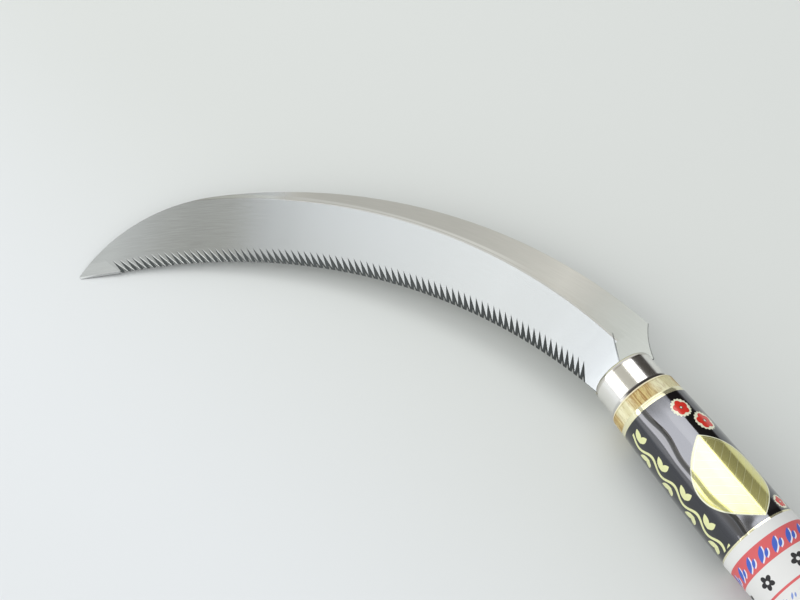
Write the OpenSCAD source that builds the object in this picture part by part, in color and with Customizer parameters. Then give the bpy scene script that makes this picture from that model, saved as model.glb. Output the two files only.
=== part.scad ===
// Serrated sickle: a curved stainless blade with saw-cut teeth, held in a turned
// wooden handle by a drawn metal ferrule. A printed film sleeve and a paper label
// are wrapped round the handle.
// The handle lies along X with its butt face at X = 0. The blade leaves the handle
// at the far end and curves towards Y. Z is up when the sickle lies on a table.

/* [Handle] */
// length of the turned wood from the butt to the shoulder that meets the ferrule
handle_l = 132; // [110:1:160]
// radius of the wood at the ferrule end
rim_r = 12.4; // [11.8:0.1:13]
// radius of the wood at its thickest place
belly_r = 13.7; // [13.4:0.1:15]
// distance from the ferrule end back to the thickest place
belly_back = 55; // [45:1:70]
// rounding of the wood edge beside the ferrule
rim_round = 0.9; // [0.3:0.1:1.5]
// rounding of the wood edge round the butt
butt_round = 3; // [1:0.5:5]

/* [Ferrule] */
// outer radius of the ferrule
ferrule_r = 11.3; // [10.6:0.1:11.8]
// length of the ferrule
ferrule_l = 11.9; // [10:0.1:16]
// wall of the ferrule
ferrule_wall = 0.7; // [0.5:0.1:1]
// rounding of the front edge of the ferrule
nose_round = 1.8; // [1.2:0.1:3]
// length of the rear end of the ferrule that is drawn in
tail_l = 1.4; // [0.8:0.1:2]
// radius of that drawn-in end, seen from the side
tail_bend = 3; // [2.5:0.1:6]
// depth of the cross slot in the front of the ferrule
slot_depth = 2; // [1.2:0.1:3]
// space between the blade and the sides of the slots
slot_gap = 0.1; // [0.05:0.05:0.3]

/* [Blade] */
// thickness of the sheet
blade_t = 1.3; // [1:0.1:2]
// radius of the toothed edge
edge_r = 190.6; // [185:0.1:200]
// distance from the handle axis to the edge where the blade enters the ferrule
heel_w = 10.6; // [10.2:0.1:11.6]
// angle of the edge to the handle axis where the blade enters the ferrule
heel_turn = 10.5; // [8:0.1:13]
// widest distance from the edge to the back
blade_w = 33.9; // [30:0.1:38]
// where the blade is widest, as a direction from the centre of the edge arc
widest_at = -59.8; // [-65:0.1:-50]
// radius of the long part of the back
back_r = 187.3; // [180:0.1:198]
// radius of the back near the tip
tip_r = 60.6; // [50:0.1:70]
// where the two arcs of the back meet
tip_turn = -27.1; // [-32:0.1:-22]
// angle by which the straight edge under the tip leans out
tip_lean = 2.3; // [1:0.1:6]
// rounding of the point
point_round = 0.8; // [0.4:0.1:1.5]

/* [Neck] */
// distance from the handle axis to the back where the blade enters the ferrule
neck_w = 12.6; // [12:0.1:14]
// radius of the hollow at the back of the neck
neck_r = 30; // [24:1:40]
// how far behind the ferrule mouth the centre of that hollow lies
neck_back = 8.6; // [6:0.1:11]

/* [Ground face] */
// thickness left at the edge
edge_t = 0.3; // [0.25:0.05:0.5]
// widest distance from the edge to the ridge
ground_w = 28.1; // [24:0.1:30]
// where the ground face is widest, as a direction from the centre of the edge arc
ground_at = -34.7; // [-42:0.1:-30]
// radius of the ridge
ridge_r = 192.2; // [186:0.1:198]
// height of the step at the ridge where the ground face is widest
ridge_step = 0.16; // [0.1:0.02:0.3]
// slope of the step, as rise over run
ridge_slope = 0.34; // [0.2:0.02:1]
// widest distance from the edge to the outer side of the light strip along the ridge
fade_w = 30.6; // [29:0.1:35]
// where that side is farthest out, as a direction from the centre of the edge arc
fade_at = -11.8; // [-25:0.1:-5]
// radius of the outer side of the strip
fade_r = 208; // [196:0.1:216]
// slope of the strip, which makes the ridge fade out towards the tip
fade_slope = 0.08; // [0.03:0.01:0.12]
// distance in front of the shoulder where the ridge turns in to the neck
notch_u = 12.4; // [10:0.1:15]
// distance of that corner from the handle axis
notch_v = 5.5; // [4:0.1:7]
// direction of the end of the ground face beside the neck
notch_turn = 25.5; // [15:0.5:35]

/* [Teeth] */
// number of grooves that make the teeth
tooth_count = 78; // [60:1:79]
// distance from one groove to the next along the edge
tooth_pitch = 2.345; // [2.2:0.005:2.4]
// plain edge between the shoulder and the first groove
plain_heel = 7.3; // [6:0.1:10]
// plain edge between the last groove and the corner where the tip starts
plain_tip = 1.9; // [1:0.1:3]
// height of a groove from the edge towards the back
groove_h = 6; // [5:0.1:7]
// angle by which a groove leans towards the tip
groove_lean = 39; // [30:1:42]
// depth of a groove below the upper face at the edge
groove_d = 0.46; // [0.4:0.01:0.6]
// width of a groove at the edge as a share of the pitch; above 1 the grooves meet
groove_fill = 1.25; // [1:0.01:1.4]
// part of a groove on its long side, which faces the handle
groove_side = 0.7; // [0.5:0.01:0.8]
// width of the bevel under the tip
bevel_w = 0.6; // [0.3:0.1:1]
// thickness left at that bevel
bevel_t = 0.12; // [0.1:0.01:0.2]

/* [Tang] */
// width of the tang inside the handle
tang_w = 9; // [7:0.5:11]
// length of the tang inside the wood
tang_l = 48; // [35:1:60]
// radius of the pin through the tang
pin_r = 1.25; // [1:0.05:1.6]
// distance of the pin from the ferrule end of the wood
pin_back = 25; // [18:1:32]

/* [Sleeve and label] */
// distance from the ferrule end of the wood to the sleeve
sleeve_back = 6; // [4:0.5:9]
// length of the film sleeve
sleeve_l = 58; // [45:1:62]
// thickness of the film
sleeve_t = 0.15; // [0.1:0.05:0.3]
// length of film covered by the label
label_lap = 3.1; // [2:0.1:6]
// length of the paper label
label_l = 52; // [40:1:56]
// thickness of the paper
label_t = 0.15; // [0.1:0.05:0.3]
// space between the wood, the film and the paper
wrap_gap = 0.05; // [0.05:0.05:0.2]

/* [Hidden] */
$fn = 96;
small_fn = 48;
big_fn = 360;
arc_fn = 720;
// Cutting shapes reach this far past what they cut.
far = 400;
over = 5;

// The barrel shape of the wood is one long arc through the ferrule end and the belly.
belly_drop = belly_r - rim_r;
barrel_r = (belly_back * belly_back + belly_drop * belly_drop) / (2 * belly_drop);
belly_x = handle_l - belly_back;

// The blade is drawn flat, with u along the handle axis from the ferrule end of the
// wood and v across it, and is then moved to its place.
shoulder_u = ferrule_l - slot_depth;
edge_c = [
    shoulder_u - edge_r * sin(heel_turn),
    heel_w + edge_r * cos(heel_turn)
];
back_c = edge_c + (blade_w + edge_r - back_r) * [cos(widest_at), sin(widest_at)];
tip_c = back_c + (back_r - tip_r) * [cos(tip_turn), sin(tip_turn)];
ridge_c = edge_c + (ground_w + edge_r - ridge_r) * [cos(ground_at), sin(ground_at)];
fade_c = edge_c + (fade_w + edge_r - fade_r) * [cos(fade_at), sin(fade_at)];
neck_c = [
    shoulder_u - neck_back,
    -neck_w - sqrt(neck_r * neck_r - neck_back * neck_back)
];
notch = [shoulder_u + notch_u, -notch_v];

// Directions from the centre of the edge arc.
heel_dir = heel_turn - 90;
tooth_dir = heel_dir + deg(plain_heel / edge_r);
tooth_step = deg(tooth_pitch / edge_r);
corner_dir = tooth_dir + (tooth_count - 1) * tooth_step + deg(plain_tip / edge_r);
corner = edge_c + edge_r * [cos(corner_dir), sin(corner_dir)];
under_dir = corner_dir + 90 - tip_lean;

// The tip is where the straight edge meets the tip arc.
under = [cos(under_dir), sin(under_dir)];
to_corner = corner - tip_c;
half_b = to_corner * under;
tip_run = -half_b + sqrt(half_b * half_b - to_corner * to_corner + tip_r * tip_r);
tip = corner + tip_run * under;

// The point is rounded by a circle that touches the straight edge and the tip arc.
inward = [under[1], -under[0]];
to_line = to_corner + point_round * inward;
half_l = to_line * under;
point_run = -half_l + sqrt(half_l * half_l - to_line * to_line + pow(tip_r - point_round, 2));
point_c = corner + point_round * inward + point_run * under;
tip_v = point_c[1] + point_round;

// The sickle rests on the belly of the handle and on the tip of the blade.
film_out = wrap_gap + sleeve_t;
paper_out = film_out + wrap_gap + label_t;
rest_r = belly_r + paper_out;
tip_reach = norm([tip_v, blade_t / 2]);
rest_roll = asin(rest_r / tip_reach) - atan(blade_t / 2 / tip_v);

ground_slope = (blade_t - ridge_step - edge_t) / ground_w;
groove_run = groove_h / cos(groove_lean);
groove_rise = groove_d + ground_slope * groove_h;
groove_tilt = atan(groove_rise / groove_run);
groove_w = tooth_pitch * groove_fill * cos(groove_lean) / groove_d;
bevel_fall = atan((edge_t - bevel_t) / bevel_w);

function deg(a) = a * 180 / PI;

// Moves flat blade work to its place: centred on the axis and rolled onto its tip.
module in_place() {
    translate([handle_l, 0, 0])
        rotate([-rest_roll, 0, 0])
            translate([0, 0, -blade_t / 2])
                children();
}

// A pie slice between two directions.
module slice(from, to) {
    mid = (from + to) / 2;
    polygon([
        [0, 0],
        far * [cos(from), sin(from)],
        1.2 * far * [cos(mid), sin(mid)],
        far * [cos(to), sin(to)]
    ]);
}

// Everything on the inner side of the back: a long arc that runs into the tip arc.
module inside_back() {
    intersection() {
        translate(back_c)
            circle(back_r, $fn = big_fn);
        translate(back_c)
            slice(tip_turn - 75, tip_turn);
    }
    intersection() {
        translate(tip_c)
            circle(tip_r, $fn = big_fn);
        translate(back_c)
            slice(tip_turn, tip_turn + 30);
    }
}

// The side of the straight edge under the tip that is cut away.
module beyond_under() {
    translate(corner)
        rotate(under_dir)
            translate([-12, 0])
                square([60, 40]);
}

// The sharp corner outside the rounding of the point.
module beyond_point() {
    outward = (point_c - tip_c) / norm(point_c - tip_c);
    difference() {
        polygon([
            point_c,
            point_c - 2 * point_round * inward,
            tip + 2 * (tip - point_c),
            point_c + 2 * point_round * outward
        ]);
        translate(point_c)
            circle(point_round, $fn = small_fn);
    }
}

module blade_outline() {
    difference() {
        inside_back();
        beyond_point();
        translate(edge_c)
            circle(edge_r, $fn = big_fn);
        beyond_under();
        translate(neck_c)
            circle(neck_r, $fn = 180);
        translate([shoulder_u - far, -far])
            square([far, 2 * far]);
    }
}

// Tang with a point that leads it into the wood.
module tang_outline() {
    point = tang_w / 3;
    difference() {
        polygon([
            [shoulder_u + 4, -tang_w / 2],
            [shoulder_u + 4, tang_w / 2],
            [point - tang_l, tang_w / 2],
            [-tang_l, tang_w / 6],
            [-tang_l, -tang_w / 6],
            [point - tang_l, -tang_w / 2]
        ]);
        translate([-pin_back, 0])
            circle(pin_r);
    }
}

// Space above a shallow cone that rises from the edge towards the back.
module above_ground_cone() {
    inner = edge_r - 12;
    outer = edge_r + 45;
    translate(edge_c)
        rotate_extrude($fn = big_fn)
            polygon([
                [inner, edge_t - 12 * ground_slope],
                [outer, edge_t + 45 * ground_slope],
                [outer, blade_t + 6],
                [inner, blade_t + 6]
            ]);
}

// Space inside a ring line at the top face, with a sloping wall below it.
module inside_wall(centre, radius, slope) {
    drop = 4 * slope;
    translate(centre)
        rotate_extrude($fn = big_fn)
            polygon([
                [radius - 60, blade_t - drop],
                [radius - 4, blade_t - drop],
                [radius + 4, blade_t + drop],
                [radius + 4, blade_t + 3],
                [radius - 60, blade_t + 3]
            ]);
}

// The neck keeps its full thickness behind the notch.
module neck_keep() {
    back = [notch[0] - 40 * cos(notch_turn), notch[1] + 40 * sin(notch_turn)];
    translate([0, 0, -1])
        linear_extrude(blade_t + 10)
            polygon([
                notch,
                back,
                [back[0], -60],
                [notch[0] + 1.2, -60]
            ]);
}

// Metal ground away on the upper face.
module ground_cut() {
    difference() {
        intersection() {
            above_ground_cone();
            union() {
                inside_wall(ridge_c, ridge_r, ridge_slope);
                inside_wall(fade_c, fade_r, fade_slope);
            }
        }
        neck_keep();
    }
}

// One slanting groove with unequal sides, deepest at the edge.
module groove() {
    reach = groove_run + 5;
    high = 1.6;
    rotate([0, 0, groove_lean])
        translate([0, 0, edge_t - groove_d])
            rotate([0, -groove_tilt, 0])
                translate([-3, 0, 0])
                    rotate([90, 0, 90])
                        linear_extrude(reach)
                            polygon([
                                [0, 0],
                                [groove_w * groove_side * high, high],
                                [-groove_w * (1 - groove_side) * high, high]
                            ]);
}

module grooves() {
    for (i = [0 : tooth_count - 1])
        translate(edge_c)
            rotate(tooth_dir + i * tooth_step)
                translate([edge_r, 0, 0])
                    groove();
}

// Small bevel along the straight edge under the tip.
module under_bevel() {
    translate([corner[0], corner[1], bevel_t])
        rotate(under_dir)
            rotate([-bevel_fall, 0, 0])
                translate([0, -3, 0])
                    cube([60, 6, 3]);
}

module blade() {
    color([0.78, 0.79, 0.80])
        in_place()
            difference() {
                union() {
                    linear_extrude(blade_t)
                        blade_outline();
                    linear_extrude(blade_t)
                        tang_outline();
                }
                ground_cut();
                grooves();
                under_bevel();
            }
}

// Turns a profile, drawn as radius and distance from the butt, about the handle axis.
module turned() {
    rotate([0, 90, 0])
        rotate_extrude()
            children();
}

// The long arc of the barrel, raised by some height, between two places.
module barrel(raise, from, to) {
    intersection() {
        translate([belly_r - barrel_r, belly_x])
            circle(barrel_r + raise, $fn = arc_fn);
        translate([0, from])
            square([40, to - from]);
    }
}

// A wall of even thickness that follows the barrel.
module barrel_wall(inner, outer, from, to) {
    difference() {
        barrel(outer, from, to);
        translate([belly_r - barrel_r, belly_x])
            circle(barrel_r + inner, $fn = arc_fn);
    }
}

function barrel_at(x) = belly_r - barrel_r + sqrt(pow(barrel_r, 2) - pow(x - belly_x, 2));

// A round nose on the handle axis, from just behind the ferrule end of the wood.
module nose(radius, reach, bend) {
    translate([0, handle_l - 1])
        square([radius, reach - bend + 1]);
    translate([0, handle_l - 1])
        square([radius - bend, reach + 1]);
    translate([radius - bend, handle_l + reach - bend])
        circle(bend, $fn = small_fn);
}

// Inside of the ferrule, which the nose of the wood fills.
module ferrule_inside() {
    nose(ferrule_r - ferrule_wall, ferrule_l - ferrule_wall, nose_round - ferrule_wall);
}

// Metal outside the drawn-in rear end of the ferrule.
module beside_tail() {
    translate([ferrule_r - tail_bend, handle_l])
        difference() {
            square([tail_bend + over, tail_l]);
            translate([0, tail_l])
                circle(tail_bend, $fn = 2 * small_fn);
        }
}

// Slot across the front of the ferrule and the nose of the wood, for the blade.
module mouth_slot() {
    half = ferrule_r + over;
    in_place()
        translate([shoulder_u, -half, -slot_gap])
            cube([slot_depth + over, 2 * half, blade_t + 2 * slot_gap]);
}

// Cup-shaped cap over the nose of the handle, with a slot for the blade.
module ferrule() {
    color([0.80, 0.80, 0.80])
        difference() {
            turned()
                difference() {
                    nose(ferrule_r, ferrule_l, nose_round);
                    ferrule_inside();
                    translate([0, handle_l - over])
                        square([far, over]);
                    beside_tail();
                }
            mouth_slot();
        }
}

// Turned wood with a nose that fills the ferrule and a slot for the tang.
module handle() {
    butt_r = barrel_at(0);
    color([0.86, 0.74, 0.52])
        difference() {
            turned()
                union() {
                    difference() {
                        barrel(0, 0, handle_l);
                        translate([butt_r - butt_round, 0])
                            difference() {
                                square([butt_round + over, butt_round]);
                                translate([0, butt_round])
                                    circle(butt_round, $fn = small_fn);
                            }
                        translate([rim_r - rim_round, handle_l - rim_round])
                            difference() {
                                square([rim_round + over, rim_round + over]);
                                circle(rim_round, $fn = small_fn);
                            }
                    }
                    ferrule_inside();
                }
            mouth_slot();
            in_place()
                translate([-tang_l - slot_gap, -tang_w / 2 - slot_gap, -slot_gap])
                    cube([tang_l + ferrule_l + over, tang_w + 2 * slot_gap, blade_t + 2 * slot_gap]);
            in_place()
                translate([-pin_back, 0, -belly_r - over])
                    cylinder(h = 2 * (belly_r + over), r = pin_r);
        }
}

// Steel pin driven through the wood and the tang, trimmed just below the wood.
module tang_pin() {
    half = barrel_at(handle_l - pin_back) - 0.3;
    color([0.55, 0.55, 0.56])
        in_place()
            translate([-pin_back, 0, blade_t / 2 - half])
                cylinder(h = 2 * half, r = pin_r);
}

module film_sleeve() {
    front = handle_l - sleeve_back;
    color([0.10, 0.10, 0.11])
        turned()
            barrel_wall(wrap_gap, film_out, front - sleeve_l, front);
}

// Paper wrapped round the wood, its front end lapped over the film.
module paper_label() {
    film_end = handle_l - sleeve_back - sleeve_l;
    step = film_end - wrap_gap;
    front = film_end + label_lap;
    color([0.93, 0.93, 0.92])
        turned()
            union() {
                barrel_wall(film_out + wrap_gap, paper_out, step - label_t, front);
                barrel_wall(wrap_gap, paper_out, step - label_t, step);
                barrel_wall(wrap_gap, wrap_gap + label_t, front - label_l, step);
            }
}

blade();
ferrule();
handle();
tang_pin();
film_sleeve();
paper_label();
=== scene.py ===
"""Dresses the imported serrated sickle: steel, wood, film and paper, with a plain studio round it."""

import logging
import math
from collections.abc import Callable
from dataclasses import dataclass, field
from enum import Enum

import bpy
from mathutils import Matrix, Vector


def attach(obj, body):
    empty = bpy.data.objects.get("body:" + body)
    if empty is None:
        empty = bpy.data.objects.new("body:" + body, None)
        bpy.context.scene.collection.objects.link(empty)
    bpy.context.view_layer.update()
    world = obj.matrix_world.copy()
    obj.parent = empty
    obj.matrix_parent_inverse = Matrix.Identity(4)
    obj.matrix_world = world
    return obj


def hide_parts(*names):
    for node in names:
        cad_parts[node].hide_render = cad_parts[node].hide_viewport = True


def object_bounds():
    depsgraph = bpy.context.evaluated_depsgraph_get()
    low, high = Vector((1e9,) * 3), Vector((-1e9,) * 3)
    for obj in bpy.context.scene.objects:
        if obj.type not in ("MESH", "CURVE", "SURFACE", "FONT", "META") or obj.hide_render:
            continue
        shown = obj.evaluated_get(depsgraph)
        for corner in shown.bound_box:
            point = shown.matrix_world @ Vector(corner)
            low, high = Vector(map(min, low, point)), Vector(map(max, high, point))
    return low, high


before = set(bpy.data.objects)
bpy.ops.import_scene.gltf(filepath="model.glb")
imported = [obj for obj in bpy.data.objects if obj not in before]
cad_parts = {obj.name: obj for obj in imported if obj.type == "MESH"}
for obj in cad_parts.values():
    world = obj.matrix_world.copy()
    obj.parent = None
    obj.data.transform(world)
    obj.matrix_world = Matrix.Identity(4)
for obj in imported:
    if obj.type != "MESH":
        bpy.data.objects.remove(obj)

CAD_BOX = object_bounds()

LOG = logging.getLogger("sickle")

MM = 0.001
PHOTO_WIDTH_PX = 800
HALF_TURN = 180.0
FULL_TURN = 360.0

Socket = bpy.types.NodeSocket
Value = float | Socket
Colour = tuple[float, float, float]
Point = tuple[float, float]


class Blend(Enum):
    """How one colour goes over another."""

    OVER = "MIX"
    DARKEN = "MULTIPLY"


@dataclass(frozen=True)
class HandleSizes:
    """Sizes of the handle and of what is wrapped round it, in millimetres, as in the part's source."""

    length: float = 132.0
    rim_r: float = 12.4
    belly_r: float = 13.7
    belly_back: float = 55.0
    ferrule_r: float = 11.3
    ferrule_l: float = 11.9
    sleeve_back: float = 6.0
    sleeve_l: float = 58.0
    sleeve_t: float = 0.15
    label_lap: float = 3.1
    label_l: float = 52.0
    label_t: float = 0.15
    wrap_gap: float = 0.05

    @property
    def sleeve_front(self) -> float:
        """Return the place along the handle where the film starts."""
        return self.length - self.sleeve_back

    @property
    def sleeve_end(self) -> float:
        """Return the place along the handle where the film ends."""
        return self.sleeve_front - self.sleeve_l

    @property
    def label_front(self) -> float:
        """Return the place along the handle where the paper starts."""
        return self.sleeve_end + self.label_lap

    @property
    def label_end(self) -> float:
        """Return the place along the handle where the paper ends."""
        return self.label_front - self.label_l

    @property
    def mouth(self) -> float:
        """Return the place of the front of the ferrule."""
        return self.length + self.ferrule_l

    def wood_r(self, x: float) -> float:
        """Return the radius of the wood at a place along the handle."""
        drop = self.belly_r - self.rim_r
        barrel_r = (self.belly_back ** 2 + drop ** 2) / (2.0 * drop)
        past = x - (self.length - self.belly_back)
        return self.belly_r - barrel_r + math.sqrt(barrel_r ** 2 - past ** 2)


@dataclass(frozen=True)
class BladeSizes:
    """Sizes of the flat blade work, in millimetres and degrees, as in the part's source."""

    thickness: float = 1.3
    shoulder_u: float = 9.9
    edge_r: float = 190.6
    edge_t: float = 0.3
    heel_w: float = 10.6
    heel_turn: float = 10.5
    ground_w: float = 28.1
    ground_at: float = -34.7
    ridge_r: float = 192.2
    ridge_step: float = 0.16
    fade_w: float = 30.6
    fade_at: float = -11.8
    fade_r: float = 208.0
    groove_h: float = 6.0
    notch: Point = (22.3, -5.5)
    notch_turn: float = 25.5
    corner_turn: float = -22.45
    groove_lean: float = 39.0
    band_turns: Point = (-41.0, -38.0)
    neck_w: float = 12.6
    neck_r: float = 30.0
    neck_back: float = 8.6
    roll: float = 5.5

    @property
    def slope(self) -> float:
        """Return the rise of the ground face over its run."""
        return (self.thickness - self.ridge_step - self.edge_t) / self.ground_w

    @property
    def edge_centre(self) -> Vector:
        """Return the centre of the toothed edge, flat, from the ferrule end of the wood."""
        turn = math.radians(self.heel_turn)
        u = self.shoulder_u - self.edge_r * math.sin(turn)
        v = self.heel_w + self.edge_r * math.cos(turn)
        return Vector((u, v, 0.0))

    def off_edge(self, reach: float, at: float) -> Vector:
        """Return the point at a distance and direction from the centre of the edge.

        Args:
            reach: The distance.
            at: The direction in degrees.

        Returns:
            The point, flat.
        """
        turn = math.radians(at)
        return self.edge_centre + reach * Vector((math.cos(turn), math.sin(turn), 0.0))

    @property
    def ridge_centre(self) -> Vector:
        """Return the centre of the ridge between the ground face and the spine band."""
        return self.off_edge(self.ground_w + self.edge_r - self.ridge_r, self.ground_at)

    @property
    def fade_centre(self) -> Vector:
        """Return the centre of the line where the ridge fades out."""
        return self.off_edge(self.fade_w + self.edge_r - self.fade_r, self.fade_at)

    @property
    def neck_centre(self) -> Vector:
        """Return the centre of the hollow curve behind the neck."""
        down = self.neck_w + math.sqrt(self.neck_r ** 2 - self.neck_back ** 2)
        return Vector((self.shoulder_u - self.neck_back, -down, 0.0))


class Graph:
    """One node material, built with plain calls that return sockets."""

    def __init__(self, name: str) -> None:
        """Start an empty material with a Principled shader.

        Args:
            name: Name of the material.
        """
        self.material: bpy.types.Material = bpy.data.materials.new(name)
        self.material.use_nodes = True
        self.tree: bpy.types.NodeTree = self.material.node_tree
        self.tree.nodes.clear()
        output = self.tree.nodes.new("ShaderNodeOutputMaterial")
        self.shader = self.tree.nodes.new("ShaderNodeBsdfPrincipled")
        self.tree.links.new(self.shader.outputs["BSDF"], output.inputs["Surface"])

    def put(self, target: Socket, value: Value | Colour) -> None:
        """Set a socket to a value, or link it.

        Args:
            target: The input socket.
            value: A number, a colour or an output socket.
        """
        if isinstance(value, bpy.types.NodeSocket):
            self.tree.links.new(value, target)
        elif isinstance(value, tuple) and target.type == "RGBA":
            target.default_value = (*value, 1.0)
        else:
            target.default_value = value

    def finish(self, **inputs: Value | Colour) -> bpy.types.Material:
        """Set the shader's own sockets and return the material.

        Args:
            inputs: Values by socket name, with underscores for spaces.

        Returns:
            The finished material.
        """
        for name, value in inputs.items():
            self.put(self.shader.inputs[name.replace("_", " ")], value)
        return self.material

    def math(self, kind: str, a: Value, b: Value = 0.0, c: Value = 0.0) -> Socket:
        """Return the result of a Math node.

        Args:
            kind: The operation.
            a: First value.
            b: Second value.
            c: Third value.

        Returns:
            The output socket.
        """
        node = self.tree.nodes.new("ShaderNodeMath")
        node.operation = kind
        for target, value in zip(node.inputs, (a, b, c)):
            self.put(target, value)
        return node.outputs[0]

    def add(self, a: Value, b: Value) -> Socket:
        """Return the sum of two values."""
        return self.math("ADD", a, b)

    def less(self, a: Value, b: Value) -> Socket:
        """Return the first value less the second."""
        return self.math("SUBTRACT", a, b)

    def times(self, a: Value, b: Value) -> Socket:
        """Return the product of two values."""
        return self.math("MULTIPLY", a, b)

    def most(self, *values: Value) -> Value:
        """Return the largest of several values."""
        largest = values[0]
        for value in values[1:]:
            largest = self.math("MAXIMUM", largest, value)
        return largest

    def vector(self, kind: str, a: Socket, b: tuple[float, float, float] = (0.0, 0.0, 0.0)) -> Socket:
        """Return the vector result of a Vector Math node with a constant.

        Args:
            kind: The operation.
            a: The vector.
            b: The constant.

        Returns:
            The vector socket.
        """
        node = self.tree.nodes.new("ShaderNodeVectorMath")
        node.operation = kind
        self.put(node.inputs[0], a)
        node.inputs[1].default_value = b
        return node.outputs["Vector"]

    def length(self, a: Socket) -> Socket:
        """Return the length of a vector."""
        node = self.tree.nodes.new("ShaderNodeVectorMath")
        node.operation = "LENGTH"
        self.put(node.inputs[0], a)
        return node.outputs["Value"]

    def dot(self, a: Socket, b: Socket) -> Socket:
        """Return the dot product of two vectors."""
        node = self.tree.nodes.new("ShaderNodeVectorMath")
        node.operation = "DOT_PRODUCT"
        self.put(node.inputs[0], a)
        self.put(node.inputs[1], b)
        return node.outputs["Value"]

    def rolled(self, a: Socket, angle: float) -> Socket:
        """Return a vector turned about the handle axis by an angle in degrees."""
        node = self.tree.nodes.new("ShaderNodeVectorRotate")
        node.rotation_type = "X_AXIS"
        self.put(node.inputs["Vector"], a)
        node.inputs["Angle"].default_value = math.radians(angle)
        return node.outputs[0]

    def coordinate(self, kind: str) -> Socket:
        """Return one kind of texture coordinate."""
        return self.tree.nodes.new("ShaderNodeTexCoord").outputs[kind]

    def place(self) -> Socket:
        """Return the point on the piece in millimetres, in the frame of the whole part."""
        return self.vector("MULTIPLY", self.coordinate("Object"), (1.0 / MM,) * 3)

    def split(self, a: Socket) -> tuple[Socket, Socket, Socket]:
        """Return the three parts of a vector."""
        node = self.tree.nodes.new("ShaderNodeSeparateXYZ")
        self.put(node.inputs[0], a)
        return node.outputs[0], node.outputs[1], node.outputs[2]

    def join(self, x: Value, y: Value, z: Value = 0.0) -> Socket:
        """Return a vector made from three values."""
        node = self.tree.nodes.new("ShaderNodeCombineXYZ")
        for target, value in zip(node.inputs, (x, y, z)):
            self.put(target, value)
        return node.outputs[0]

    def noise(self, at: Socket, scale: float, detail: float = 3.0, rough: float = 0.5) -> Socket:
        """Return a noise value.

        Args:
            at: Where the noise is read.
            scale: Scale of the noise.
            detail: Number of finer layers.
            rough: Strength of the finer layers.

        Returns:
            The value socket, about 0.5 in the middle.
        """
        node = self.tree.nodes.new("ShaderNodeTexNoise")
        self.put(node.inputs["Vector"], at)
        node.inputs["Scale"].default_value = scale
        node.inputs["Detail"].default_value = detail
        node.inputs["Roughness"].default_value = rough
        return node.outputs["Fac"]

    def ramp(self, value: Socket, *stops: tuple[float, Colour]) -> Socket:
        """Return a colour that runs through the given stops."""
        node = self.tree.nodes.new("ShaderNodeValToRGB")
        self.put(node.inputs[0], value)
        fill_ramp(node.color_ramp, stops)
        return node.outputs["Color"]

    def over(self, share: Value, below: Value | Colour, above: Value | Colour, how: Blend = Blend.OVER) -> Socket:
        """Return one colour laid over another by a share.

        Args:
            share: How much of the upper colour shows.
            below: The lower colour.
            above: The upper colour.
            how: The kind of blend.

        Returns:
            The colour socket.
        """
        node = self.tree.nodes.new("ShaderNodeMix")
        node.data_type = "RGBA"
        node.blend_type = how.value
        self.put(node.inputs[0], share)
        self.put(node.inputs[6], below)
        self.put(node.inputs[7], above)
        return node.outputs[2]

    def rise(self, value: Socket, at: float, soft: float = 0.05) -> Socket:
        """Return a smooth step from 0 to 1 at a value."""
        node = self.tree.nodes.new("ShaderNodeMapRange")
        node.interpolation_type = "SMOOTHSTEP"
        self.put(node.inputs["Value"], value)
        node.inputs["From Min"].default_value = at - soft
        node.inputs["From Max"].default_value = at + soft
        return node.outputs["Result"]

    def under(self, value: Socket, at: float, soft: float = 0.05) -> Socket:
        """Return a smooth step from 1 to 0 at a value."""
        return self.less(1.0, self.rise(value, at, soft))

    def band(self, value: Socket, low: float, high: float, soft: float = 0.05) -> Socket:
        """Return 1 between two values and 0 outside, with soft ends."""
        return self.less(self.rise(value, low, soft), self.rise(value, high, soft))

    def scale(self, value: Socket, low: float, high: float) -> Socket:
        """Return a value from 0 to 1 spread between two numbers."""
        return self.math("MULTIPLY_ADD", value, high - low, low)

    def repeat(self, value: Socket, step: float, shift: float = 0.0) -> Socket:
        """Return the distance from the middle of the nearest of evenly repeated cells."""
        return self.less(self.math("FLOORED_MODULO", self.add(value, shift), step), step / 2.0)

    def stroke(self, x: Socket, y: Socket, start: Point, end: Point) -> Socket:
        """Return the distance from a straight stroke in a plane.

        Args:
            x: First coordinate.
            y: Second coordinate.
            start: Where the stroke starts.
            end: Where the stroke ends.

        Returns:
            The distance socket.
        """
        run = (end[0] - start[0], end[1] - start[1])
        square = run[0] ** 2 + run[1] ** 2
        dx = self.less(x, start[0])
        dy = self.less(y, start[1])
        along = self.add(self.times(dx, run[0] / square), self.times(dy, run[1] / square))
        held = self.math("MINIMUM", self.math("MAXIMUM", along, 0.0), 1.0)
        return self.length(self.join(self.less(dx, self.times(held, run[0])),
                                     self.less(dy, self.times(held, run[1]))))

    def facet(self) -> Socket:
        """Shade by the true faces of the mesh, not by softened ones, and return their normal."""
        normal = self.tree.nodes.new("ShaderNodeNewGeometry").outputs["True Normal"]
        self.tree.links.new(normal, self.shader.inputs["Normal"])
        return normal

    def lens(self, x: Socket, y: Socket, start: Point, end: Point, half: float) -> Socket:
        """Return the share of a shape that is pointed at both ends and widest in its middle.

        Args:
            x: First coordinate.
            y: Second coordinate.
            start: One pointed end.
            end: The other pointed end.
            half: Half of the greatest width.

        Returns:
            The share, from 0 to 1.
        """
        run = Vector(end) - Vector(start)
        dx = self.less(x, start[0])
        dy = self.less(y, start[1])
        along = self.times(self.add(self.times(dx, run.x), self.times(dy, run.y)), 1.0 / run.length_squared)
        across = self.times(self.less(self.times(dx, run.y), self.times(dy, run.x)), 1.0 / run.length)
        swell = self.times(self.times(along, self.less(1.0, along)), 4.0 * half)
        return self.under(self.less(self.math("ABSOLUTE", across), swell), 0.0)

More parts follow.
